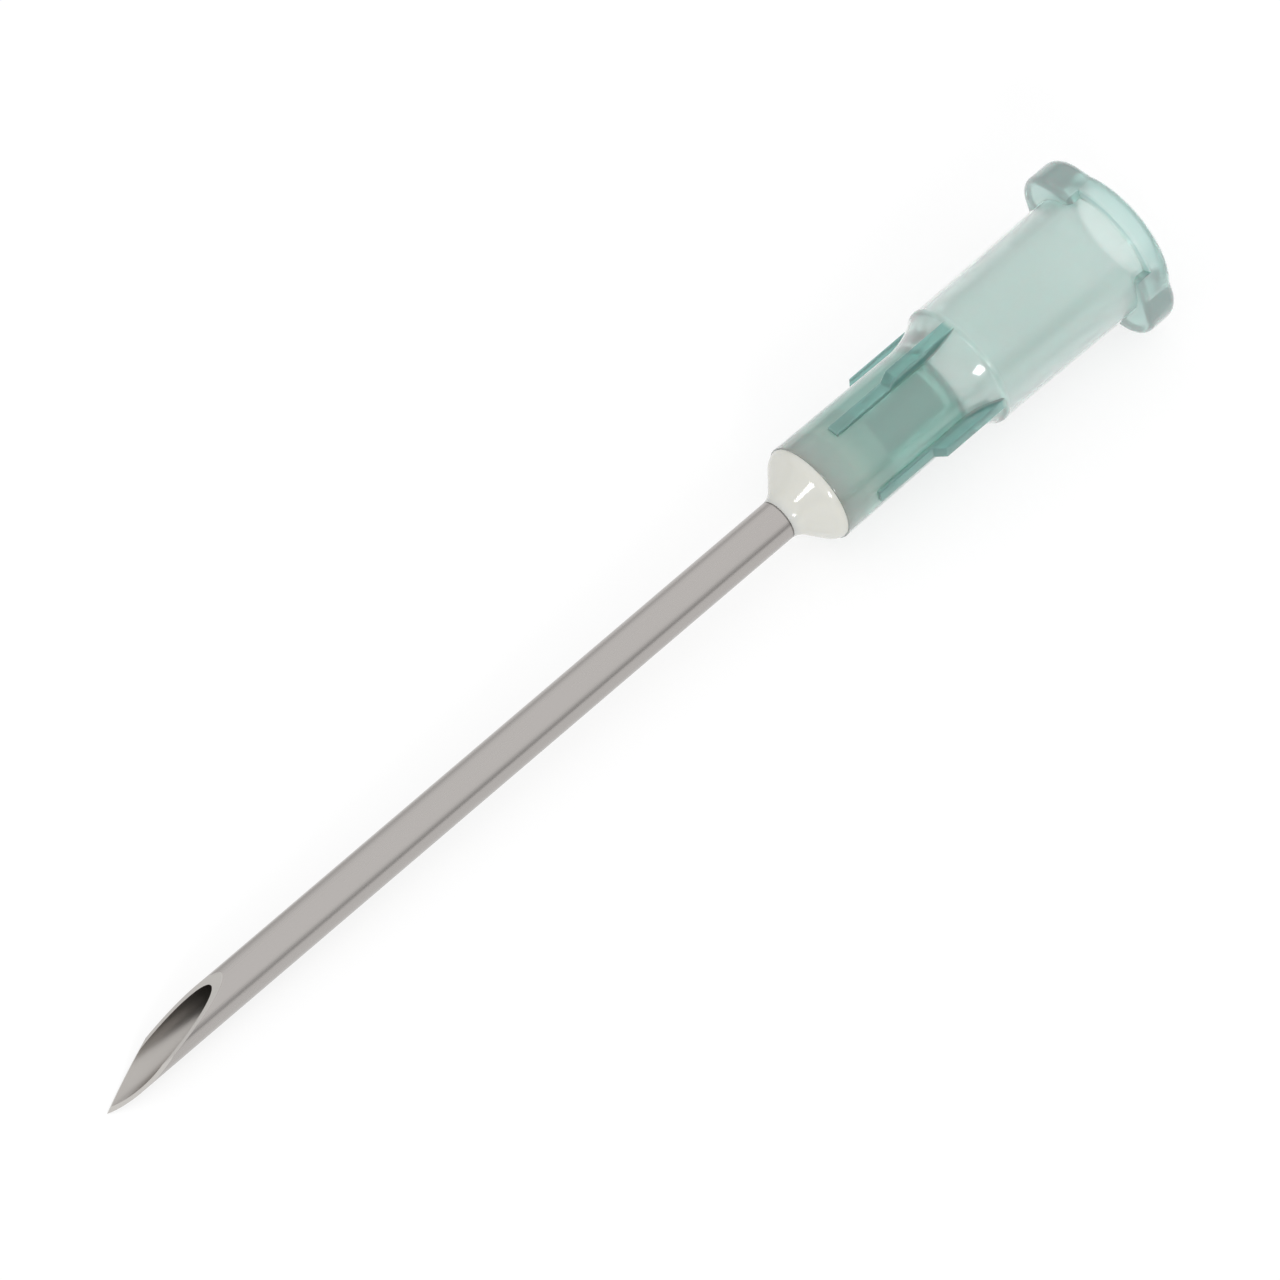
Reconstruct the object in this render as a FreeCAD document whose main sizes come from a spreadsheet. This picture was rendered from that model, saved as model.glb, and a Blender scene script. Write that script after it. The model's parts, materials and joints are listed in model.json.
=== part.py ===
"""Hypodermic needle: a ground steel cannula, glued into a moulded hub with a lock socket.

Each piece is drawn along its own X axis, point towards -X. The cannula's X starts at its point,
the hub's and the adhesive's at the hub's front rim. All three are then laid down together:
turned about the needle's axis, and tipped until the hub's flange and the point touch Z = 0.
Lengths are in millimetres and angles in degrees. Angles about the axis turn from +Z towards -Y.
"""
import FreeCAD, Part
import math
import os

import Sketcher

SIZES = {
    # Steel tube
    "cannula_diameter": 1.77,
    "cannula_wall": 0.15,
    "exposed_length": 38.1,
    # Three grinds of the point: the long slope, then two side facets
    "bevel_angle": 13.8,
    "bevel_setback": 0.48,
    "facet_angle": 21.8,
    "facet_turn": 40.8,
    # Outside of the hub
    "hub_length": 17.22,
    "rim_diameter": 4.44,
    "barrel_diameter": 4.32,
    "flare_start": 6.3,
    "flare_end": 8.5,
    "shoulder_round": 0.63,
    "socket_front_diameter": 5.54,
    "socket_back_diameter": 5.78,
    # Socket for the syringe's cone
    "mouth_diameter": 4.3,
    "mouth_chamfer": 0.15,
    "socket_taper": 0.06,
    "socket_depth": 10.5,
    "socket_floor_round": 0.5,
    "stop_thickness": 0.4,
    # Hole for the cannula, and the well for the adhesive in front of it
    "hole_clearance": 0.08,
    "rim_land": 0.06,
    "funnel_depth": 1.5,
    "well_depth": 3.1,
    "well_diameter": 2.5,
    # Grip ribs, low in front and tall towards the shoulder
    "rib_count": 4,
    "rib_turn": 49.7,
    "rib_width": 0.56,
    "rib_start": 1.66,
    "rib_step": 0.19,
    "rib_root_depth": 0.2,
    "rib_tall_start": 4.6,
    "rib_end_slope": 48.0,
    # Flange with lugs for a lock collar
    "flange_diameter": 6.6,
    "flange_thickness": 1.04,
    "flange_edge_round": 0.45,
    "lug_count": 2,
    "lug_span": 7.83,
    "lug_thickness": 1.66,
    "lug_nose_round": 1.9,
    "lug_edge_round": 0.28,
    "lug_root_depth": 0.3,
    "lug_head_angle": 40.0,
    "lug_step_angle": 34.0,
    "lug_tail_angle": 57.0,
    # Bead of adhesive in front of the rim
    "bead_root_angle": 10.0,
    "bead_root_round": 1.1,
    "bead_slope": 46.0,
    "bead_edge_round": 0.8,
    "bead_edge_angle": 12.0,
    # How the needle lies
    "hub_roll": 31.5,
    "point_roll": -22.2,
}

AXIS = FreeCAD.Vector(1, 0, 0)
SIDEWAYS = FreeCAD.Vector(0, 1, 0)
OUT_OF_SKETCH = FreeCAD.Vector(0, 0, 1)
FULL_TURN = 360
NEAR_ENOUGH = 1e-4


def make_sheet(doc):
    sheet = doc.addObject("Spreadsheet::Sheet", "Sizes")
    for row, (alias, number) in enumerate(SIZES.items(), start=1):
        sheet.set(f"A{row}", alias)
        sheet.set(f"B{row}", str(number))
        sheet.setAlias(f"B{row}", alias)
    doc.recompute()
    return sheet


def value(obj, expression):
    """The number that an expression gives, without its unit."""
    result = obj.evalExpression(expression)
    return float(getattr(result, "Value", result))


def add_sketch(body, name, plane_role):
    sketch = body.newObject("Sketcher::SketchObject", name)
    plane = next(item for item in body.Origin.OriginFeatures if item.Role == plane_role)
    sketch.AttachmentSupport = (plane, [""])
    sketch.MapMode = "FlatFace"
    return sketch


def turn_sketch(sketch, turn):
    """Turn a lengthwise sketch about the needle's axis."""
    sketch.setExpression("AttachmentOffset.Rotation.Angle", turn)
    sketch.AttachmentOffset = FreeCAD.Placement(
        FreeCAD.Vector(), FreeCAD.Rotation(AXIS, value(sketch, turn))
    )


def pin_point(sketch, edge, end, corner):
    """Tie one end of an edge to its two expressions."""
    for direction, expression in zip(("DistanceX", "DistanceY"), corner):
        number = value(sketch, expression)
        index = sketch.addConstraint(Sketcher.Constraint(direction, -1, 1, edge, end, number))
        sketch.setExpression(f"Constraints[{index}]", expression)


def short_arc(start, end, radius):
    """Arc between two points. It bulges to the right of the way for a positive radius."""
    first, second = (start, end) if radius > 0 else (end, start)
    chord = second - first
    half = chord.Length / 2
    left = FreeCAD.Vector(-chord.y, chord.x, 0) / chord.Length
    centre = (first + second) / 2 + left * math.sqrt(radius ** 2 - half ** 2)
    angles = [math.atan2(point.y - centre.y, point.x - centre.x) for point in (first, second)]
    return Part.ArcOfCircle(Part.Circle(centre, OUT_OF_SKETCH, abs(radius)), *angles)


def draw_outline(sketch, corners, arcs=None):
    """Closed outline through corners given as pairs of expressions.

    arcs gives, for the number of a side, the expression of its radius, with a minus in front
    where the side bulges to the left of the way round.
    """
    arcs = arcs or {}
    points = [FreeCAD.Vector(value(sketch, x), value(sketch, y), 0) for x, y in corners]
    edges = []
    for number, start in enumerate(points):
        end = points[(number + 1) % len(points)]
        if number not in arcs:
            edges.append(sketch.addGeometry(Part.LineSegment(start, end)))
            continue
        edges.append(sketch.addGeometry(short_arc(start, end, value(sketch, arcs[number]))))
    ends = [end_numbers(sketch.Geometry[edge], points[number]) for number, edge in enumerate(edges)]
    for number, edge in enumerate(edges):
        before = number - 1
        sketch.addConstraint(
            Sketcher.Constraint("Coincident", edges[before], ends[before][1], edge, ends[number][0])
        )
        pin_point(sketch, edge, ends[number][0], corners[number])
    for number, radius in arcs.items():
        size = abs(value(sketch, radius))
        index = sketch.addConstraint(Sketcher.Constraint("Radius", edges[number], size))
        sketch.setExpression(f"Constraints[{index}]", f"abs({radius})")


def end_numbers(edge, first):
    """Which end of an edge comes first on the way round, and which comes second."""
    if (edge.StartPoint - first).Length < NEAR_ENOUGH:
        return 1, 2
    return 2, 1


def draw_circle(sketch, radius):
    circle = Part.Circle(FreeCAD.Vector(), OUT_OF_SKETCH, value(sketch, radius))
    edge = sketch.addGeometry(circle)
    sketch.addConstraint(Sketcher.Constraint("Coincident", edge, 3, -1, 1))
    index = sketch.addConstraint(Sketcher.Constraint("Radius", edge, circle.Radius))
    sketch.setExpression(f"Constraints[{index}]", radius)


def add_revolution(body, name, sketch):
    revolution = body.newObject("PartDesign::Revolution", name)
    revolution.Profile = sketch
    revolution.ReferenceAxis = (sketch, ["H_Axis"])
    revolution.Angle = FULL_TURN
    return revolution


def add_pad(body, name, sketch, length):
    pad = body.newObject("PartDesign::Pad", name)
    pad.Profile = sketch
    pad.setExpression("Length", length)
    return pad


def add_turned_copies(body, name, feature, count):
    copies = body.newObject("PartDesign::PolarPattern", name)
    copies.Originals = [feature]
    axis = next(item for item in body.Origin.OriginFeatures if item.Role == "X_Axis")
    copies.Axis = (axis, [""])
    copies.Angle = FULL_TURN
    copies.setExpression("Occurrences", count)
    body.Tip = copies
    return copies


def add_fillet(body, name, base, edges, radius):
    fillet = body.newObject("PartDesign::Fillet", name)
    fillet.Base = (base, edges)
    fillet.setExpression("Radius", radius)
    return fillet


def edges_in_plane(shape, x, inner_radius):
    """Names of the edges that lie at x, all of them further from the axis than inner_radius."""
    names = []
    for number, edge in enumerate(shape.Edges, start=1):
        middle = edge.valueAt((edge.FirstParameter + edge.LastParameter) / 2)
        points = [vertex.Point for vertex in edge.Vertexes] + [middle]
        in_plane = all(abs(point.x - x) < NEAR_ENOUGH for point in points)
        outside = all(math.hypot(point.y, point.z) > inner_radius for point in points)
        if in_plane and outside:
            names.append(f"Edge{number}")
    return names


def add_grind(body, name, turn, angle, start):
    """Wedge taken off the point: a slope through the given start, turned about the axis."""
    sketch = add_sketch(body, name + "Outline", "XZ_Plane")
    turn_sketch(sketch, turn)
    front = "-Sizes.cannula_diameter"
    top = "Sizes.cannula_diameter"
    rise = f"tan({angle} * 1deg)"
    x_start, z_start = start
    draw_outline(
        sketch,
        [
            (front, f"{z_start} + ({front} - ({x_start})) * {rise}"),
            (f"({x_start}) + ({top} - ({z_start})) / {rise}", top),
            (front, top),
        ],
    )
    cut = body.newObject("PartDesign::Pocket", name)
    cut.Profile = sketch
    cut.Type = "ThroughAll"
    cut.Midplane = True
    return cut


def make_cannula(doc):
    """Drawn steel tube with a long bevel and two side facets that meet in a point."""
    body = doc.addObject("PartDesign::Body", "Cannula")
    body.Label = "cannula"
    tube = add_sketch(body, "TubeSection", "YZ_Plane")
    draw_circle(tube, "Sizes.cannula_diameter / 2")
    draw_circle(tube, "Sizes.cannula_diameter / 2 - Sizes.cannula_wall")
    stop_depth = "Sizes.hub_length - Sizes.socket_depth - Sizes.stop_thickness"
    add_pad(body, "Tube", tube, f"Sizes.exposed_length + {stop_depth}")
    doc.recompute()
    underside = "-Sizes.cannula_diameter / 2"
    add_grind(body, "Bevel", "0", "Sizes.bevel_angle", ("-Sizes.bevel_setback", underside))
    for side, name in ((1, "LeftFacet"), (-1, "RightFacet")):
        turn = f"{side} * Sizes.facet_turn"
        start = ("0", f"{underside} * cos(Sizes.facet_turn * 1deg)")
        add_grind(body, name, turn, "Sizes.facet_angle", start)
    return body


def make_hub_wall(body):
    """Turned outline of the hub: barrel, flared shoulder and socket outside, three bores inside."""
    outline = add_sketch(body, "WallOutline", "XY_Plane")
    back = "Sizes.hub_length"
    barrel = "Sizes.barrel_diameter / 2"
    socket_front = "Sizes.socket_front_diameter / 2"
    run = "(Sizes.flare_end - Sizes.flare_start)"
    rise = f"({socket_front} - {barrel})"
    round_sum = f"(({run}^2 + {rise}^2) / (2 * {rise}))"
    flare_round = f"({round_sum} - Sizes.shoulder_round)"
    mouth = "Sizes.mouth_diameter / 2"
    floor = "(Sizes.hub_length - Sizes.socket_depth)"
    tapered_depth = "(Sizes.socket_depth - Sizes.socket_floor_round)"
    floor_radius = f"({mouth} - Sizes.socket_taper / 2 * {tapered_depth})"
    stop = f"({floor} - Sizes.stop_thickness)"
    lumen = "(Sizes.cannula_diameter / 2 - Sizes.cannula_wall)"
    hole = "(Sizes.cannula_diameter / 2 + Sizes.hole_clearance)"
    well = "Sizes.well_diameter / 2"
    corners = [
        ("0", "Sizes.rim_diameter / 2"),
        ("0", "Sizes.rim_diameter / 2 - Sizes.rim_land"),
        ("Sizes.funnel_depth", well),
        ("Sizes.well_depth", well),
        ("Sizes.well_depth", hole),
        (stop, hole),
        (stop, lumen),
        (floor, lumen),
        (floor, f"{floor_radius} - Sizes.socket_floor_round"),
        (f"{floor} + Sizes.socket_floor_round", floor_radius),
        (f"{back} - Sizes.mouth_chamfer", f"{mouth} - Sizes.socket_taper / 2 * Sizes.mouth_chamfer"),
        (back, f"{mouth} + Sizes.mouth_chamfer"),
        (back, "Sizes.socket_back_diameter / 2"),
        ("Sizes.flare_end", socket_front),
        (
            f"Sizes.flare_start + {run} * {flare_round} / {round_sum}",
            f"{barrel} + {rise} * {flare_round} / {round_sum}",
        ),
        ("Sizes.flare_start", barrel),
    ]
    arcs = {8: "-Sizes.socket_floor_round", 13: "Sizes.shoulder_round", 14: f"-{flare_round}"}
    draw_outline(outline, corners, arcs)
    return add_revolution(body, "Wall", outline)


def add_ribs(doc, body):
    """Ribs that grip the cover: a low front part, a sloped step and a tall part up to the shoulder."""
    outline = add_sketch(body, "RibOutline", "XZ_Plane")
    turn_sketch(outline, "Sizes.rib_turn")
    barrel = "Sizes.barrel_diameter / 2"
    root = f"{barrel} - Sizes.rib_root_depth"
    low = f"({barrel} + Sizes.rib_step)"
    tall = "sqrt((Sizes.socket_front_diameter / 2)^2 - (Sizes.rib_width / 2)^2)"
    slope = "tan(Sizes.rib_end_slope * 1deg)"
    corners = [
        ("Sizes.rib_start", root),
        ("Sizes.flare_end", root),
        ("Sizes.flare_end", tall),
        (f"Sizes.rib_tall_start + ({tall} - {low}) / {slope}", tall),
        ("Sizes.rib_tall_start", low),
        ("Sizes.rib_start", low),
    ]
    draw_outline(outline, corners)
    rib = add_pad(body, "Rib", outline, "Sizes.rib_width")
    rib.Midplane = True
    doc.recompute()
    return add_turned_copies(body, "Ribs", rib, "Sizes.rib_count")


def nose_end(edge, reach, nose, angle):
    """Angle at which a lug's round nose ends, where a straight flank runs on to the flange's edge."""
    rise = f"({edge} * sin({angle}))"
    run = f"({reach} - {edge} * cos({angle}))"
    return f"(180deg - atan2({rise}; {run}) - acos({nose} / sqrt({rise}^2 + {run}^2)))"


def add_flange(doc, body):
    """Thin round flange with thicker lugs: long flank at the head, step and thick tail behind."""
    back = "Sizes.hub_length"
    disc = add_sketch(body, "FlangeOutline", "YZ_Plane")
    disc.setExpression("AttachmentOffset.Base.z", f"{back} - Sizes.flange_thickness")
    bore = "(Sizes.mouth_diameter / 2 + Sizes.socket_back_diameter / 2) / 2"
    draw_circle(disc, "Sizes.flange_diameter / 2")
    draw_circle(disc, bore)
    add_pad(body, "Flange", disc, "Sizes.flange_thickness")
    doc.recompute()

    lug = add_sketch(body, "LugOutline", "YZ_Plane")
    lug.setExpression("AttachmentOffset.Base.z", f"{back} - Sizes.lug_thickness")
    edge = "(Sizes.flange_diameter / 2)"
    nose = "Sizes.lug_nose_round"
    reach = f"(Sizes.lug_span / 2 - {nose})"
    head = "(Sizes.lug_head_angle * 1deg)"
    step = "(Sizes.lug_step_angle * 1deg)"
    tail = "(Sizes.lug_tail_angle * 1deg)"
    head_side = nose_end(edge, reach, nose, head)
    step_side = nose_end(edge, reach, nose, step)
    root = "(Sizes.socket_back_diameter / 2 - Sizes.lug_root_depth)"
    corners = [
        (f"{root} * cos({head})", f"{root} * sin({head})"),
        (f"{root} * cos({tail})", f"-{root} * sin({tail})"),
        (f"{edge} * cos({tail})", f"-{edge} * sin({tail})"),
        (f"{edge} * cos({step})", f"-{edge} * sin({step})"),
        (f"{reach} + {nose} * cos({step_side})", f"-{nose} * sin({step_side})"),
        (f"{reach} + {nose} * cos({head_side})", f"{nose} * sin({head_side})"),
        (f"{edge} * cos({head})", f"{edge} * sin({head})"),
    ]
    draw_outline(lug, corners, {0: f"-{root}", 2: edge, 4: nose})
    pad = add_pad(body, "Lug", lug, "Sizes.lug_thickness")
    doc.recompute()
    return add_turned_copies(body, "Lugs", pad, "Sizes.lug_count")


def make_hub(doc, sheet):
    """One moulding: glue well, ribbed barrel, shoulder, tapered socket and lock flange."""
    body = doc.addObject("PartDesign::Body", "Hub")
    body.Label = "hub"
    make_hub_wall(body)
    doc.recompute()
    add_ribs(doc, body)
    doc.recompute()
    lugs = add_flange(doc, body)
    doc.recompute()
    outer = sheet.socket_back_diameter / 2 + NEAR_ENOUGH
    back_edges = edges_in_plane(lugs.Shape, sheet.hub_length, outer)
    add_fillet(body, "BackEdgeRound", lugs, back_edges, "Sizes.flange_edge_round")
    doc.recompute()
    front = sheet.hub_length - sheet.lug_thickness
    front_edges = edges_in_plane(body.Tip.Shape, front, outer)
    add_fillet(body, "LugEdgeRound", body.Tip, front_edges, "Sizes.lug_edge_round")
    return body


def make_adhesive(doc):
    """Cured resin that fills the well round the cannula and stands in front of it as a bead."""
    body = doc.addObject("PartDesign::Body", "Adhesive")
    body.Label = "adhesive"
    outline = add_sketch(body, "BeadOutline", "XY_Plane")
    tube = "Sizes.cannula_diameter / 2"
    rim = "(Sizes.rim_diameter / 2 - Sizes.rim_land)"
    well = "Sizes.well_diameter / 2"
    slope = "(Sizes.bead_slope * 1deg)"
    first = "(Sizes.bead_root_angle * 1deg)"
    last = "(Sizes.bead_edge_angle * 1deg)"
    root_run = f"Sizes.bead_root_round * (sin({slope}) - sin({first}))"
    root_rise = f"Sizes.bead_root_round * (cos({first}) - cos({slope}))"
    edge_run = f"Sizes.bead_edge_round * (sin({slope}) - sin({last}))"
    edge_rise = f"Sizes.bead_edge_round * (cos({last}) - cos({slope}))"
    slope_rise = f"({rim} - {tube} - {root_rise} - {edge_rise})"
    tip = f"({root_run} + {edge_run} + {slope_rise} / tan({slope}))"
    corners = [
        (f"-{tip}", tube),
        ("Sizes.well_depth", tube),
        ("Sizes.well_depth", well),
        ("Sizes.funnel_depth", well),
        ("0", rim),
        (f"-{edge_run}", f"{rim} - {edge_rise}"),
        (f"-{tip} + {root_run}", f"{tube} + {root_rise}"),
    ]
    arcs = {4: "Sizes.bead_edge_round", 6: "-Sizes.bead_root_round"}
    draw_outline(outline, corners, arcs)
    add_revolution(body, "Bead", outline)
    return body


def lowest(piece):
    return piece.Shape.optimalBoundingBox(False, False).ZMin


def lay_down(sheet, cannula, hub, adhesive):
    """Lay the needle on Z = 0, on the flange's edge and the point, centred over the origin."""
    along = FreeCAD.Vector(sheet.exposed_length, 0, 0)
    pieces = (
        (cannula, sheet.point_roll, FreeCAD.Vector()),
        (hub, sheet.hub_roll, along),
        (adhesive, sheet.hub_roll, along),
    )
    pitch = 0.0
    gap = math.inf
    while abs(gap) > NEAR_ENOUGH:
        tip_down = FreeCAD.Rotation(SIDEWAYS, -pitch)
        for piece, roll, shift in pieces:
            turn = tip_down.multiply(FreeCAD.Rotation(AXIS, roll))
            piece.Placement = FreeCAD.Placement(tip_down.multVec(shift), turn)
        gap = lowest(cannula) - lowest(hub)
        pitch += math.degrees(math.atan(gap / (sheet.exposed_length + sheet.hub_length)))
    box = FreeCAD.BoundBox()
    for piece, _, _ in pieces:
        box.add(piece.Shape.optimalBoundingBox(False, False))
    move = FreeCAD.Vector(-box.Center.x, -box.Center.y, -box.ZMin)
    for piece, _, _ in pieces:
        piece.Placement = FreeCAD.Placement(piece.Placement.Base + move, piece.Placement.Rotation)
        print(f"{piece.Label}: {piece.Placement.Base}, {piece.Placement.Rotation.Q}")
    print(f"pitch {pitch:.4f} degrees")


def check_document(doc):
    for item in doc.Objects:
        if "Invalid" in item.State or "Error" in item.State:
            raise RuntimeError(f"{item.Name} failed: {item.State}")


def write_pieces(pieces):
    os.makedirs("parts", exist_ok=True)
    for piece in pieces:
        shape = piece.Shape
        if shape.isNull() or not shape.isValid() or len(shape.Solids) != 1:
            raise RuntimeError(f"{piece.Label} is not one valid solid")
        print(f"{piece.Label}: {shape.Volume:.3f} mm3, {len(shape.Faces)} faces")
        shape.exportStep(f"parts/{piece.Label}.step")


def main():
    doc = FreeCAD.newDocument("HypodermicNeedle")
    sheet = make_sheet(doc)
    cannula = make_cannula(doc)
    hub = make_hub(doc, sheet)
    adhesive = make_adhesive(doc)
    doc.recompute()
    lay_down(sheet, cannula, hub, adhesive)
    doc.recompute()
    check_document(doc)
    write_pieces((cannula, hub, adhesive))


main()
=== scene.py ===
"""Looks of the hypodermic needle: drawn steel tube, ivory adhesive and see-through moulded hub.

Shapes are drawn in millimetres along the needle's own X axis, with X = 0 at the hub's front rim.
One matrix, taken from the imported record's mounts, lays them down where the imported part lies.
"""
import json
import math

import bmesh
import bpy
from mathutils import Matrix, Vector


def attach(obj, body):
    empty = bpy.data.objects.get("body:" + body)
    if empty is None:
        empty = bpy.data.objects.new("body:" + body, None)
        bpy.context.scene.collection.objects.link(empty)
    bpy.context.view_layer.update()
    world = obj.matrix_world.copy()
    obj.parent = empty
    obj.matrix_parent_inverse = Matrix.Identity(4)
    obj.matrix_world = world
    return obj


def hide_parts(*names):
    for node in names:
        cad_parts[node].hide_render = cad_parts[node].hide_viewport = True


MM = 0.001

# Fineness of round shapes, and the angle from which an edge shows as sharp
AROUND = 384
ARC_STEPS = 10
BEVEL_STEPS = 4
SHARP = math.radians(28)

# Steel tube
TUBE_RADIUS = 0.885
BORE_RADIUS = 0.735
EXPOSED = 38.1
TUBE_REAR = 6.32
TUBE_END_ROUND = 0.03

# Ground point: the long slope's plane leaves the underside a little in front of the tip
GRIND_SLOPE = math.radians(13.8)
GRIND_LEAD = 0.48
FACET_SLOPE = math.radians(21.8)
FACET_TURN = math.radians(40.8)
POINT_ROLL = math.radians(-22.2)

# Hub, outside, from the front rim to the shoulder
HUB_LENGTH = 17.22
HUB_ROLL = math.radians(31.5)
RIM_RADIUS = 2.22
RIM_LAND = 0.06
RIM_ROUNDS = (0.02, 0.05)
BARREL_RADIUS = 2.16
FLARE = (6.3, 8.5)
SHOULDER_ROUND = 0.63
SHOULDER_RIDGE = 0.26
SOCKET_RADII = (2.77, 2.89)

# Hub, inside, from the open mouth to the glue well
MOUTH_RADIUS = 2.15
CHAMFER_WIDTH = 0.15
CHAMFER_DEPTH = 0.25
CHAMFER_ROUNDS = (0.08, 0.15)
CONE_START = 2.142
TAPER = 0.03
SOCKET_FLOOR = 6.72
FLOOR_ROUND = 0.48
STOP_DEPTH = 0.4
STOP_ROUND = 0.05
HOLE_RADIUS = 0.965
HOLE_ROUND = 0.03
WELL_RADIUS = 1.25
WELL_DEPTH = 3.1
FUNNEL_DEPTH = 1.5
FUNNEL_ROUND = 0.2

# Flange
FLANGE_FRONT = 16.18
FLANGE_FOOT = 2.875
FLANGE_RADIUS = 3.3
FLANGE_ROUNDS = (0.06, 0.1, 0.45)

# Grip ribs, low in front and tall behind
RIB_COUNT = 4
RIB_TURN = math.radians(49.7)
RIB_WIDTH = 0.56
RIB_ENDS = (1.66, 8.9)
RIB_STEP = 4.6
RIB_SLOPE = math.radians(48)
RIB_ROOT = 1.96
RIB_LOW = 2.35
RIB_TALL = 2.755
RIB_ROUND = 0.05

# Lock lugs, whose back ends just short of the flange's
LUG_COUNT = 2
LUG_FRONT = 15.56
LUG_BACK = 17.217
LUG_ROUNDS = (0.3, 0.5)
LUG_ROOT = 2.59
LUG_NOSE = 1.9
LUG_REACH = 2.015
LUG_HEAD = math.radians(40)
LUG_STEP = math.radians(34)
LUG_TAIL = math.radians(57)

# Bead of adhesive: an arc up from the tube, a straight slope, an arc to the rim; it wets the walls
SEEP = 0.006
BEAD_SLOPE = math.radians(46)
BEAD_FOOT = (1.1, math.radians(10))
BEAD_BROW = (0.8, math.radians(12))
BEAD_EDGE = 0.02

# Marks in the steel: repeats in a millimetre along and across the tube, and their depth
DRAWN_MARKS = (0.03, 6.0, 6.0)
WHEEL_MARKS = (30.0, 0.9, 0.9)
MARK_DEPTH = 0.002
DRAWN_ROUGHNESS = (0.2, 0.32)
# Places on the axis, in millimetres, where the painted shade on the tube begins: darker steel from
# here into the adhesive and hub
SHADED_TUBE_LINE = (-1.79, -1.75)

# Hub's tints, and the places on the axis between which one runs into the next
FUNNEL_TINT = "#D6EFE5"
FUNNEL_RUN = (2.4, 1.2)
BARREL_TINT = "#BEE1D9"
THIN_TINT = "#ECF7F3"
THIN_RUN = (6.3, 6.9)
SOLID_TINT = "#8CC1BB"
# Lighter tint on lugs and flange: painted light on faces that see the darker low tent
PAINTED_LIGHT_TINT = "#DEF2EF"
PAINTED_LIGHT_RUN = (12.5, 13.5)
END_RUN = (16.6, 17.1)

# Outside of the plain wall, where the tint tells it from ribs and lugs: a curve, then a cone
CURVE_RADIUS = 2.19
CURVE_RISE = 0.1374
CONE_RADIUS = 2.67
CONE_RISE = 0.0156
RAISED_RUN = (0.02, 0.15)

# White table and white tent, in metres; the tent is weaker low down, most of all in front
FLOOR_REACH = 3.0
FLOOR_WHITE = 0.75
TENT_STRENGTH = 1.08
LOW_RUN = (0.12, 0.5)
NEAR_RUN = (-0.3, 0.6)
NEAR_LOSS = (0.62, 0.38)
CLEAR_LOSS = 0.6

# Softboxes: heading, height, distance and size in metres, power in watts
SOFTBOXES = {
    "softbox_front": (math.radians(-122), math.radians(30), 0.6, 0.13, 0.8),
    "softbox_left": (math.radians(181.5), math.radians(18), 0.6, 0.08, 0.3),
}

# Camera: it aims beside this place on the axis, by so much to the right, up and back
VIEW_HEADING = math.radians(-44.337)
VIEW_HEIGHT = math.radians(56.753)
VIEW_PLACE = -10.35
VIEW_OFFSET = (0.727, 0.532, 382.923)
SENSOR_WIDTH = 36
PHOTO_WIDTH = 1280
FOCAL_LENGTH = 9818.4
CLIP = (0.01, 20)

# Colour inputs and output of a Mix node, whose names also belong to its other kinds
MIX_FIRST, MIX_SECOND, MIX_RESULT = 6, 7, 2


def linear(colour):
    """Blender's linear colour for an sRGB hex code."""
    channels = [int(colour[start:start + 2], 16) / 255 for start in (1, 3, 5)]
    return [c / 12.92 if c <= 0.04045 else ((c + 0.055) / 1.055) ** 2.4 for c in channels] + [1.0]


def add(tree, kind, values=None, **settings):
    """Add a node. A value that is a socket is linked, any other is set on the input."""
    node = tree.nodes.new(kind)
    for name, setting in settings.items():
        setattr(node, name, setting)
    for key, given in (values or {}).items():
        if isinstance(given, bpy.types.NodeSocket):
            tree.links.new(given, node.inputs[key])
        else:
            node.inputs[key].default_value = given
    return node


def maths(tree, operation, *values):
    """Result of a Math node for up to three values, each a number or a socket."""
    return add(tree, "ShaderNodeMath", dict(enumerate(values)), operation=operation).outputs[0]


def ramp(tree, value, span, result=(0.0, 1.0), kind="SMOOTHSTEP"):
    """Value mapped from one span to another, and kept within it."""
    values = {
        "Value": value, "From Min": span[0], "From Max": span[1],
        "To Min": result[0], "To Max": result[1],
    }
    return add(tree, "ShaderNodeMapRange", values, interpolation_type=kind).outputs[0]


def step_along(tree, along, span):
    """Smooth step from 0 to 1 between two places on the axis, in millimetres."""
    return ramp(tree, along, [place * MM for place in span])


def mixed_colour(tree, share, first, second):
    """Mix of two colours, each a socket or an sRGB hex code."""
    colours = [linear(given) if isinstance(given, str) else given for given in (first, second)]
    values = {0: share, MIX_FIRST: colours[0], MIX_SECOND: colours[1]}
    return add(tree, "ShaderNodeMix", values, data_type="RGBA").outputs[MIX_RESULT]


def rounded(corners):
    """Closed outline from corners (x, y, radius), each corner rounded by an arc."""
    outline = []
    for number, (x, y, radius) in enumerate(corners):
        corner = Vector((x, y))
        if not radius:
            outline.append(corner)
            continue
        before = (Vector(corners[number - 1][:2]) - corner).normalized()
        after = (Vector(corners[(number + 1) % len(corners)][:2]) - corner).normalized()
        half = before.angle(after) / 2
        centre = corner + (before + after).normalized() * radius / math.sin(half)
        start = corner + before * radius / math.tan(half) - centre
        turn = (corner + after * radius / math.tan(half) - centre).angle_signed(start)
        for step in range(ARC_STEPS + 1):
            outline.append(centre + Matrix.Rotation(turn * step / ARC_STEPS, 2) @ start)
    return outline


def arc(centre, radius, start, end):
    """Points on an arc, from one angle to another."""
    steps = 2 * ARC_STEPS
    angles = [start + (end - start) * step / steps for step in range(steps + 1)]
    x, y = centre
    return [Vector((x + radius * math.cos(a), y + radius * math.sin(a))) for a in angles]


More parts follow.
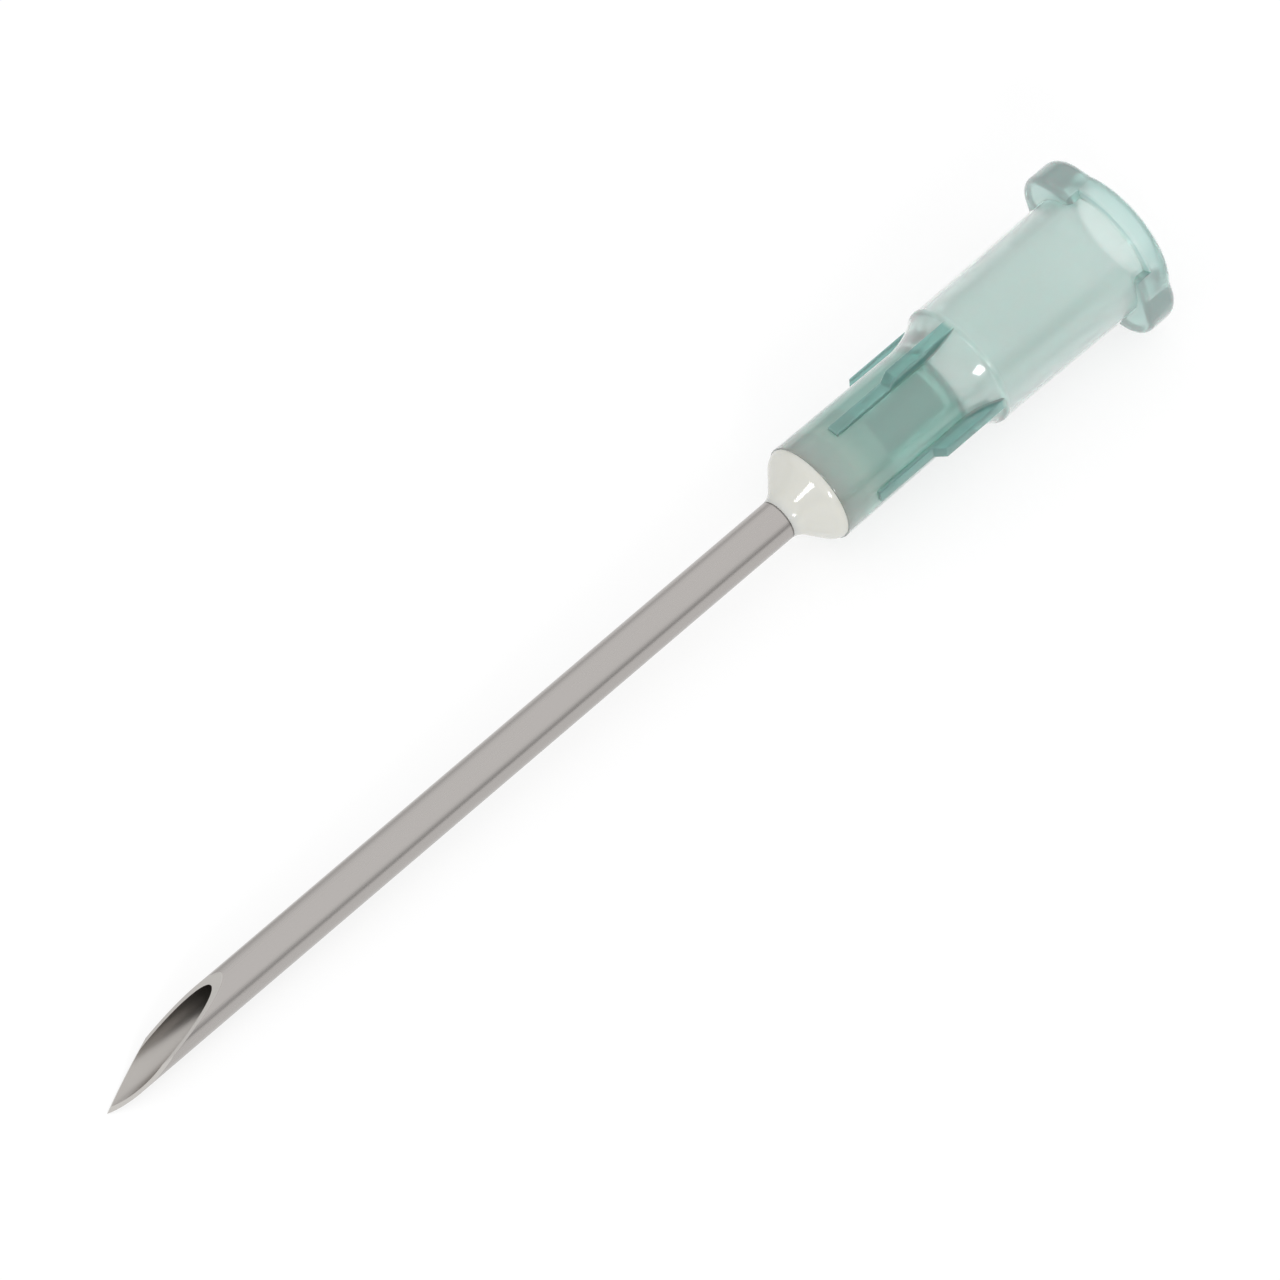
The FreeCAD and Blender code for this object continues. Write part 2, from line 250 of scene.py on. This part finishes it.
def bulge(start, end, radius):
    """Arc of a given radius from one point to another, bulging to the left of the way."""
    half = (end - start) / 2
    left = Vector((-half.y, half.x)).normalized()
    centre = start + half - left * math.sqrt(radius ** 2 - half.length ** 2)
    first = math.atan2(*reversed(start - centre))
    turn = 2 * math.asin(half.length / radius)
    return arc(centre, radius, first, first - turn)


def bridge(bm, ring, following):
    """Faces between two closed outlines with the same number of corners."""
    for step, vertex in enumerate(ring):
        bm.faces.new((ring[step - 1], vertex, following[step], following[step - 1]))


def spin(outline):
    """Closed ring with the outline (x, distance from the axis) all the way round."""
    bm = bmesh.new()
    rings = []
    for number in range(AROUND):
        turn = Matrix.Rotation(math.tau * number / AROUND, 3, "X")
        rings.append([bm.verts.new(turn @ Vector((x, 0, radius))) for x, radius in outline])
    for number, ring in enumerate(rings):
        bridge(bm, ring, rings[number - 1])
    bmesh.ops.recalc_face_normals(bm, faces=bm.faces)
    return bm


def slab(corners, depth):
    """Block with a flat outline, drawn out by the given way."""
    bm = bmesh.new()
    face = bm.faces.new([bm.verts.new(corner) for corner in corners])
    made = bmesh.ops.extrude_face_region(bm, geom=[face])["geom"]
    moved = [item for item in made if isinstance(item, bmesh.types.BMVert)]
    bmesh.ops.translate(bm, verts=moved, vec=depth)
    bmesh.ops.recalc_face_normals(bm, faces=bm.faces)
    return bm


def as_object(name, bm):
    """Put a finished mesh into the scene as an object at the origin."""
    mesh = bpy.data.meshes.new(name)
    bm.to_mesh(mesh)
    bm.free()
    thing = bpy.data.objects.new(name, mesh)
    bpy.context.scene.collection.objects.link(thing)
    return thing


def settle(thing, helpers):
    """Replace an object's mesh by its evaluated one, and drop its modifiers and helper objects."""
    graph = bpy.context.evaluated_depsgraph_get()
    mesh = bpy.data.meshes.new_from_object(thing.evaluated_get(graph))
    thing.modifiers.clear()
    thing.data = mesh
    for helper in helpers:
        bpy.data.objects.remove(helper)


def lay(thing, roll):
    """Move a mesh from the needle's own frame, in millimetres, to its place in the row frame."""
    thing.data.transform(NEEDLE @ Matrix.Rotation(roll, 4, "X"))
    for polygon in thing.data.polygons:
        polygon.use_smooth = True
    thing.data.set_sharp_from_angle(angle=SHARP)


def polar_tree(name):
    """Geometry Nodes: copies of a part turned about the needle's axis and merged into the base."""
    tree = bpy.data.node_groups.new(name, "GeometryNodeTree")
    for label, kind in (
        ("Base", "NodeSocketGeometry"), ("Part", "NodeSocketObject"), ("Count", "NodeSocketInt"),
        ("First turn", "NodeSocketFloat"), ("Material", "NodeSocketMaterial"),
    ):
        tree.interface.new_socket(label, in_out="INPUT", socket_type=kind)
    tree.interface.new_socket("Result", in_out="OUTPUT", socket_type="NodeSocketGeometry")
    given = add(tree, "NodeGroupInput").outputs
    part = add(
        tree, "GeometryNodeObjectInfo", {"Object": given["Part"]}, transform_space="ORIGINAL"
    )
    places = add(tree, "GeometryNodePoints", {"Count": given["Count"]})
    number = add(tree, "GeometryNodeInputIndex").outputs["Index"]
    step = maths(tree, "DIVIDE", math.tau, given["Count"])
    turn = maths(tree, "MULTIPLY_ADD", number, step, given["First turn"])
    angles = add(tree, "ShaderNodeCombineXYZ", {"X": turn})
    copies = add(
        tree,
        "GeometryNodeInstanceOnPoints",
        {
            "Points": places.outputs["Points"],
            "Instance": part.outputs["Geometry"],
            "Rotation": angles.outputs[0],
        },
    )
    merged = add(tree, "GeometryNodeMeshBoolean", operation="UNION", solver="EXACT")
    tree.links.new(given["Base"], merged.inputs["Mesh 2"])
    tree.links.new(copies.outputs["Instances"], merged.inputs["Mesh 2"])
    real = add(tree, "GeometryNodeRealizeInstances", {"Geometry": merged.outputs["Mesh"]})
    coated = add(
        tree,
        "GeometryNodeSetMaterial",
        {"Geometry": real.outputs["Geometry"], "Material": given["Material"]},
    )
    add(tree, "NodeGroupOutput", {"Result": coated.outputs["Geometry"]})
    return tree


def merge_copies(base, tree, part, count, turn, material):
    """Put a polar tree on the base, with its inputs set by their identifiers."""
    modifier = base.modifiers.new(part.name, "NODES")
    modifier.node_group = tree
    values = {"Part": part, "Count": count, "First turn": turn, "Material": material}
    for socket in tree.interface.items_tree:
        if socket.name in values:
            modifier[socket.identifier] = values[socket.name]


def flare_outline():
    """Barrel's hollow curve up to the shoulder, then the shoulder's low ridge."""
    run = FLARE[1] - FLARE[0]
    rise = SOCKET_RADII[0] - BARREL_RADIUS
    both = (run ** 2 + rise ** 2) / (2 * rise)
    radius = both - SHOULDER_ROUND
    centre = (FLARE[0], BARREL_RADIUS + radius)
    flare = arc(centre, radius, -math.pi / 2, math.asin(run / both) - math.pi / 2)
    ridge = bulge(flare[-1], Vector((FLARE[1], SOCKET_RADII[0])), SHOULDER_RIDGE)
    return flare[1:] + ridge[1:]


def wall_outline():
    """Cross-section of the hub's wall, as (x, distance from the axis), with soft moulded edges."""
    inside = rounded([
        (HUB_LENGTH, SOCKET_RADII[1], 0),
        (HUB_LENGTH, MOUTH_RADIUS + CHAMFER_WIDTH, CHAMFER_ROUNDS[0]),
        (HUB_LENGTH - CHAMFER_DEPTH, CONE_START, CHAMFER_ROUNDS[1]),
        (SOCKET_FLOOR, MOUTH_RADIUS - TAPER * (HUB_LENGTH - SOCKET_FLOOR), FLOOR_ROUND),
        (SOCKET_FLOOR, BORE_RADIUS, STOP_ROUND),
        (SOCKET_FLOOR - STOP_DEPTH, BORE_RADIUS, 0),
        (SOCKET_FLOOR - STOP_DEPTH, HOLE_RADIUS, HOLE_ROUND),
        (WELL_DEPTH, HOLE_RADIUS, HOLE_ROUND),
        (WELL_DEPTH, WELL_RADIUS, HOLE_ROUND),
        (FUNNEL_DEPTH, WELL_RADIUS, FUNNEL_ROUND),
        (0, RIM_RADIUS - RIM_LAND, RIM_ROUNDS[0]),
        (0, RIM_RADIUS, RIM_ROUNDS[1]),
        (FLARE[0], BARREL_RADIUS, 0),
    ])
    flange = rounded([
        (FLARE[1], SOCKET_RADII[0], 0),
        (FLANGE_FRONT, FLANGE_FOOT, FLANGE_ROUNDS[0]),
        (FLANGE_FRONT, FLANGE_RADIUS, FLANGE_ROUNDS[1]),
        (HUB_LENGTH, FLANGE_RADIUS, FLANGE_ROUNDS[2]),
        (HUB_LENGTH, SOCKET_RADII[1], 0),
    ])
    return flange[1:-1] + inside + flare_outline()


def rib_block():
    """Grip rib, low in front and tall up to the shoulder, with a sloped step between the two."""
    front, back = RIB_ENDS
    top = RIB_STEP + (RIB_TALL - RIB_LOW) / math.tan(RIB_SLOPE)
    corners = (
        (front, RIB_ROOT), (back, RIB_ROOT), (back, RIB_TALL), (top, RIB_TALL),
        (RIB_STEP, RIB_LOW), (front, RIB_LOW),
    )
    bm = slab([Vector((x, -RIB_WIDTH / 2, z)) for x, z in corners], Vector((0, RIB_WIDTH, 0)))
    bmesh.ops.bevel(
        bm, geom=bm.edges[:], offset=RIB_ROUND, segments=BEVEL_STEPS, profile=0.5,
        affect="EDGES", clamp_overlap=True,
    )
    return bm


def nose_end(angle):
    """Angle at which a lug's round nose ends, and a straight flank runs on to the flange's edge."""
    rise = FLANGE_RADIUS * math.sin(angle)
    run = LUG_REACH - FLANGE_RADIUS * math.cos(angle)
    return math.pi - math.atan2(rise, run) - math.acos(LUG_NOSE / math.hypot(rise, run))


def lug_outline(inset):
    """Lug seen along the axis: flank at the head, round nose, then a step down to the tail."""
    edge = FLANGE_RADIUS - inset
    head = LUG_HEAD - inset / FLANGE_RADIUS
    tail = LUG_TAIL - inset / FLANGE_RADIUS
    return (
        arc((0, 0), LUG_ROOT, head, -tail)
        + arc((0, 0), edge, -tail, -LUG_STEP)
        + arc((LUG_REACH, 0), LUG_NOSE - inset, -nose_end(LUG_STEP), nose_end(LUG_HEAD))
        + [Vector((edge * math.cos(head), edge * math.sin(head)))]
    )


def lug_block():
    """Lug with round front and back edges, as a skin over outlines that draw in at both ends."""
    front, back = LUG_ROUNDS
    quarter = [(math.sin(a), math.cos(a)) for a in (
        math.pi / 2 * step / ARC_STEPS for step in range(ARC_STEPS + 1)
    )]
    sections = [(LUG_FRONT + front * (1 - s), front * (1 - c)) for s, c in reversed(quarter)]
    sections += [(LUG_BACK - back * (1 - s), back * (1 - c)) for s, c in quarter]
    bm = bmesh.new()
    rings = [[bm.verts.new((x, y, z)) for y, z in lug_outline(inset)] for x, inset in sections]
    for ring, following in zip(rings, rings[1:]):
        bridge(bm, ring, following)
    bm.faces.new(rings[0])
    bm.faces.new(rings[-1])
    bmesh.ops.recalc_face_normals(bm, faces=bm.faces)
    return bm


def build_hub(material):
    """Wall of the hub, with four ribs and two lugs merged into it."""
    hub = as_object("hub_moulding", spin(wall_outline()))
    tree = polar_tree("Turned copies")
    rib = as_object("rib", rib_block())
    lug = as_object("lug", lug_block())
    merge_copies(hub, tree, rib, RIB_COUNT, RIB_TURN, material)
    merge_copies(hub, tree, lug, LUG_COUNT, 0.0, material)
    settle(hub, (rib, lug))
    lay(hub, HUB_ROLL)
    return hub


def build_adhesive(material):
    """Bead in front of the rim and the plug that fills the well behind it."""
    rim = RIM_RADIUS - RIM_LAND
    upright = math.pi / 2
    radius, lean = BEAD_FOOT
    centre = (0, TUBE_RADIUS + radius * math.cos(lean))
    foot = arc(centre, radius, lean - upright, BEAD_SLOPE - upright)
    radius, lean = BEAD_BROW
    brow = arc((0, 0), radius, upright + BEAD_SLOPE, upright + lean)
    brow = [p + Vector((radius * math.sin(lean), rim - radius * math.cos(lean))) for p in brow]
    run = (brow[0].y - foot[-1].y) / math.tan(BEAD_SLOPE)
    shift = brow[0].x - run - foot[-1].x
    foot = [p + Vector((shift, 0)) for p in foot]
    edge_and_plug = [
        Vector((BEAD_EDGE, rim + SEEP)),
        Vector((FUNNEL_DEPTH, WELL_RADIUS + SEEP)),
        Vector((WELL_DEPTH + SEEP, WELL_RADIUS + SEEP)),
        Vector((WELL_DEPTH + SEEP, TUBE_RADIUS - SEEP)),
        Vector((foot[0].x, TUBE_RADIUS - SEEP)),
    ]
    adhesive = as_object("adhesive_bead", spin(foot + brow + edge_and_plug))
    adhesive.data.materials.append(material)
    lay(adhesive, HUB_ROLL)
    return adhesive


def wedge(angle, start, turn):
    """Block in front of a ground slope, turned about the axis."""
    x, z = start
    reach = 2 * TUBE_RADIUS
    low, high = x - reach / math.tan(angle), x + 2 * reach / math.tan(angle)
    corners = ((low, z - reach), (high, z + 2 * reach), (low, z + 2 * reach))
    bm = slab([Vector((a, -reach, b)) for a, b in corners], Vector((0, 2 * reach, 0)))
    bmesh.ops.rotate(bm, verts=bm.verts, matrix=Matrix.Rotation(turn, 3, "X"))
    return bm


def build_cannula(wall, bore, ground):
    """Tube with its point ground; the bore and the ground faces have materials of their own."""
    length = EXPOSED + TUBE_REAR
    tube = as_object("cannula_tube", spin(rounded([
        (0, BORE_RADIUS, 0), (0, TUBE_RADIUS, 0),
        (length, TUBE_RADIUS, TUBE_END_ROUND), (length, BORE_RADIUS, TUBE_END_ROUND),
    ])))
    tube.data.materials.append(wall)
    tube.data.materials.append(bore)
    bore_slot = 1
    for polygon in tube.data.polygons:
        if polygon.center.yz.length < (BORE_RADIUS + TUBE_RADIUS) / 2:
            polygon.material_index = bore_slot
    facet_start = (0, -TUBE_RADIUS * math.cos(FACET_TURN))
    cuts = (
        (GRIND_SLOPE, (-GRIND_LEAD, -TUBE_RADIUS), 0.0),
        (FACET_SLOPE, facet_start, FACET_TURN),
        (FACET_SLOPE, facet_start, -FACET_TURN),
    )
    helpers = []
    for number, cut in enumerate(cuts):
        helper = as_object(f"grind_{number}", wedge(*cut))
        helper.data.materials.append(ground)
        modifier = tube.modifiers.new(helper.name, "BOOLEAN")
        modifier.operation = "DIFFERENCE"
        modifier.solver = "EXACT"
        modifier.material_mode = "TRANSFER"
        modifier.object = helper
        helpers.append(helper)
    settle(tube, helpers)
    tube.data.transform(Matrix.Translation((-EXPOSED, 0, 0)))
    lay(tube, POINT_ROLL)
    return tube


def new_material(name):
    """Material without nodes, and its node tree."""
    material = bpy.data.materials.new(name)
    material.use_nodes = True
    material.node_tree.nodes.clear()
    return material, material.node_tree


def surface(tree, values, **more):
    """Lead a Principled surface with these values to the material's output."""
    shader = add(tree, "ShaderNodeBsdfPrincipled", values)
    add(tree, "ShaderNodeOutputMaterial", {"Surface": shader.outputs[0], **more})


def needle_coordinates(tree):
    """Object coordinates as metres from the hub's rim, with X along the needle's axis."""
    place = add(tree, "ShaderNodeTexCoord")
    return add(
        tree,
        "ShaderNodeMapping",
        {
            "Vector": place.outputs["Object"],
            "Location": NEEDLE.to_translation(),
            "Rotation": NEEDLE.to_euler(),
        },
        vector_type="TEXTURE",
    ).outputs["Vector"]


def marks(tree, place, repeats, detail, strength):
    """Noise drawn out one way, and the relief that it gives to the surface."""
    scale = [number / MM for number in repeats]
    drawn = add(tree, "ShaderNodeMapping", {"Vector": place, "Scale": scale}).outputs[0]
    noise = add(tree, "ShaderNodeTexNoise", {"Vector": drawn, "Scale": 1.0, "Detail": detail})
    height = noise.outputs["Fac"]
    values = {"Height": height, "Strength": strength, "Distance": MARK_DEPTH * MM}
    relief = add(tree, "ShaderNodeBump", values)
    return height, relief.outputs[0]


def drawn_steel():
    """Stainless tube: soft mirror with faint streaks from the die, and painted shade, a darker base
    colour, where it runs into the adhesive and the hub.
    """
    material, tree = new_material("stainless_steel_drawn")
    place = needle_coordinates(tree)
    along = add(tree, "ShaderNodeSeparateXYZ", {"Vector": place}).outputs["X"]
    streaks, relief = marks(tree, place, DRAWN_MARKS, 3.0, 0.025)
    # Painted shade: the steel is coloured darker where the tube runs inside the adhesive and hub
    painted_shade_inside = step_along(tree, along, SHADED_TUBE_LINE)
    surface(tree, {
        "Base Color": mixed_colour(tree, painted_shade_inside, "#B1ADAA", "#716F6C"),
        "Metallic": 1.0,
        "Roughness": ramp(tree, streaks, (0.0, 1.0), DRAWN_ROUGHNESS, "LINEAR"),
        "Normal": relief,
    })
    return material


def bore_steel():
    """Inside of the tube: the same steel, dull and without streaks, so that it shades smoothly."""
    material, tree = new_material("stainless_steel_bore")
    surface(tree, {"Base Color": linear("#B2AEAA"), "Metallic": 1.0, "Roughness": 0.38})
    return material


def ground_steel():
    """Ground faces of the point: brighter steel, with fine wheel marks across the slope."""
    material, tree = new_material("stainless_steel_ground")
    relief = marks(tree, needle_coordinates(tree), WHEEL_MARKS, 2.0, 0.2)[1]
    surface(tree, {
        "Base Color": linear("#BEBBB7"),
        "Metallic": 1.0,
        "Roughness": 0.28,
        "Normal": relief,
    })
    return material


def moulded_tint(tree):
    """Pale where the wall is thin, deeper in the thick barrel and deepest in ribs; lugs and flange
    are lighter: painted light.
    """
    parts = add(tree, "ShaderNodeSeparateXYZ", {"Vector": needle_coordinates(tree)}).outputs
    along = parts["X"]
    across = add(tree, "ShaderNodeCombineXYZ", {"Y": parts["Y"], "Z": parts["Z"]}).outputs[0]
    radius = add(tree, "ShaderNodeVectorMath", {0: across}, operation="LENGTH").outputs["Value"]
    past = maths(tree, "MAXIMUM", maths(tree, "SUBTRACT", along, FLARE[0] * MM), 0.0)
    square = maths(tree, "POWER", past, 2.0)
    curve = maths(tree, "MULTIPLY_ADD", square, CURVE_RISE / MM, CURVE_RADIUS * MM)
    cone = maths(tree, "MULTIPLY_ADD", along, CONE_RISE, CONE_RADIUS * MM)
    proud = maths(tree, "SUBTRACT", radius, maths(tree, "MINIMUM", curve, cone))
    raised = ramp(tree, proud, [height * MM for height in RAISED_RUN], kind="LINEAR")
    solid = maths(tree, "MAXIMUM", raised, step_along(tree, along, END_RUN))
    funnel = step_along(tree, along, FUNNEL_RUN)
    front_tint = mixed_colour(tree, funnel, BARREL_TINT, FUNNEL_TINT)
    wall_tint = mixed_colour(tree, step_along(tree, along, THIN_RUN), front_tint, THIN_TINT)
    # Painted light: lugs and flange take a lighter tint than the ribs' deep teal
    solid_tint_and_painted_light = mixed_colour(tree, step_along(tree, along, PAINTED_LIGHT_RUN), SOLID_TINT, PAINTED_LIGHT_TINT)
    return mixed_colour(tree, solid, wall_tint, solid_tint_and_painted_light)


def clear_polypropylene():
    """Moulded polypropylene: see-through and slightly cloudy, with a glossy skin."""
    material, tree = new_material("polypropylene_translucent")
    values = {
        "Base Color": moulded_tint(tree),
        "Roughness": 0.17,
        "IOR": 1.49,
        "Transmission Weight": 0.74,
        "Coat Weight": 1.0,
        "Coat Roughness": 0.03,
        "Subsurface Weight": 1.0,
        "Subsurface Radius": (0.7, 1.0, 0.95),
        "Subsurface Scale": 0.001,
    }
    depth = add(
        tree, "ShaderNodeVolumeAbsorption", {"Color": linear("#7CC4B8"), "Density": 330.0}
    )
    surface(tree, values, Volume=depth.outputs[0])
    return material


def ivory_epoxy():
    """Cured resin: ivory and glossy, with a little light let in under its surface."""
    material, tree = new_material("epoxy_ivory")
    surface(tree, {
        "Base Color": linear("#C9C9C2"),
        "Roughness": 0.1,
        "IOR": 1.53,
        "Subsurface Weight": 0.25,
        "Subsurface Radius": (0.8, 0.7, 0.5),
        "Subsurface Scale": 0.0005,
    })
    return material


def seen_directly(tree):
    """1 for rays from the camera, from a mirror image or through the clear hub, else 0."""
    path = add(tree, "ShaderNodeLightPath").outputs
    direct = maths(tree, "MAXIMUM", path["Is Camera Ray"], path["Is Transmission Ray"])
    return maths(tree, "MAXIMUM", direct, path["Is Glossy Ray"])


def build_floor():
    """White table: it shows as plain white and keeps the shadow."""
    bm = bmesh.new()
    bmesh.ops.create_grid(bm, x_segments=1, y_segments=1, size=FLOOR_REACH)
    floor = as_object("floor", bm)
    material, tree = new_material("floor_white")
    paper = add(tree, "ShaderNodeBsdfDiffuse", {"Color": linear("#FAFAFA")})
    white = add(tree, "ShaderNodeEmission", {"Color": linear("#FFFFFF"), "Strength": 1.0})
    share = maths(tree, "MULTIPLY", seen_directly(tree), FLOOR_WHITE)
    mixed = add(
        tree, "ShaderNodeMixShader", {0: share, 1: paper.outputs[0], 2: white.outputs[0]}
    )
    add(tree, "ShaderNodeOutputMaterial", {"Surface": mixed.outputs[0]})
    floor.data.materials.append(material)


def build_world():
    """White tent round the table, a little darker low down, and less so through the clear hub."""
    world = bpy.data.worlds.new("tent")
    world.use_nodes = True
    tree = world.node_tree
    tree.nodes.clear()
    place = add(tree, "ShaderNodeTexCoord")
    parts = add(tree, "ShaderNodeSeparateXYZ", {"Vector": place.outputs["Generated"]}).outputs
    low = ramp(tree, parts["Z"], LOW_RUN, (1.0, 0.0))
    near = ramp(tree, parts["Y"], NEAR_RUN, NEAR_LOSS)
    path = add(tree, "ShaderNodeLightPath").outputs
    kept = maths(tree, "MULTIPLY_ADD", path["Is Transmission Ray"], -CLEAR_LOSS, 1.0)
    loss = maths(tree, "MULTIPLY", maths(tree, "MULTIPLY", low, near), kept)
    strength = maths(tree, "SUBTRACT", TENT_STRENGTH, loss)
    light = add(tree, "ShaderNodeBackground", {"Color": linear("#FFFFFF"), "Strength": strength})
    add(tree, "ShaderNodeOutputWorld", {"Surface": light.outputs[0]})
    bpy.context.scene.world = world


def add_softbox(name, heading, height, distance, size, power):
    """Square soft light, aimed at the needle."""
    light = bpy.data.lights.new(name, "AREA")
    light.shape = "SQUARE"
    light.size = size
    light.energy = power
    lamp = bpy.data.objects.new(name, light)
    bpy.context.scene.collection.objects.link(lamp)
    level = math.cos(height)
    away = Vector((math.cos(heading) * level, math.sin(heading) * level, math.sin(height)))
    lamp.location = away * distance
    lamp.rotation_mode = "QUATERNION"
    lamp.rotation_quaternion = away.to_track_quat("Z", "Y")


def build_camera():
    """Camera fitted to the photograph: direction, distance, focal length and the needle's place."""
    level = math.cos(VIEW_HEIGHT)
    right = Vector((math.cos(VIEW_HEADING), math.sin(VIEW_HEADING), 0))
    ahead = Vector((
        -math.sin(VIEW_HEADING) * level, math.cos(VIEW_HEADING) * level, -math.sin(VIEW_HEIGHT)
    ))
    up = right.cross(ahead)
    data = bpy.data.cameras.new("camera")
    data.sensor_width = SENSOR_WIDTH
    data.lens = SENSOR_WIDTH * FOCAL_LENGTH / PHOTO_WIDTH
    data.clip_start, data.clip_end = CLIP
    camera = bpy.data.objects.new("camera", data)
    bpy.context.scene.collection.objects.link(camera)
    sideways, upwards, back = VIEW_OFFSET
    offset = right * sideways + up * upwards - ahead * back
    camera.location = NEEDLE @ Vector((VIEW_PLACE, 0, 0)) + offset * MM
    camera.rotation_mode = "QUATERNION"
    camera.rotation_quaternion = ahead.to_track_quat("-Z", "Y")
    bpy.context.scene.camera = camera


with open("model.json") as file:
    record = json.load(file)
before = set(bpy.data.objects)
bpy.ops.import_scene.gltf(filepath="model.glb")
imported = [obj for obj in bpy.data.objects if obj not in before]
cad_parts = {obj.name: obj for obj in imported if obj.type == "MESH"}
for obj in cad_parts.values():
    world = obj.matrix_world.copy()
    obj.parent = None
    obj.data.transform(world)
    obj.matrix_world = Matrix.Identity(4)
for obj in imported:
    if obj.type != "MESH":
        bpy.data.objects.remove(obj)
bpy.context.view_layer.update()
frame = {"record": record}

# The needle's own frame, in millimetres from the rim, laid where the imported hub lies
mount = next(item for item in frame["record"]["mounts"] if item["name"] == "luer_socket")
axis = Vector(mount["axis"])
side = Vector((0, 1, 0))
rim_place = Vector(mount["pos_m"]) - axis * HUB_LENGTH * MM
turned = Matrix((axis, side, axis.cross(side))).transposed().to_4x4()
NEEDLE = Matrix.Translation(rim_place) @ turned @ Matrix.Scale(MM, 4)

polypropylene = clear_polypropylene()
cannula = build_cannula(drawn_steel(), bore_steel(), ground_steel())
hub = build_hub(polypropylene)
adhesive = build_adhesive(ivory_epoxy())
for piece, node, finish in (
    (cannula, "cannula", "steel"), (hub, "hub", "polypropylene"), (adhesive, "adhesive", "resin"),
):
    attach(piece, "root")
    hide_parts(node)

build_floor()
build_world()
for name, settings in SOFTBOXES.items():
    add_softbox(name, *settings)
build_camera()
bpy.context.scene.view_settings.view_transform = "Standard"
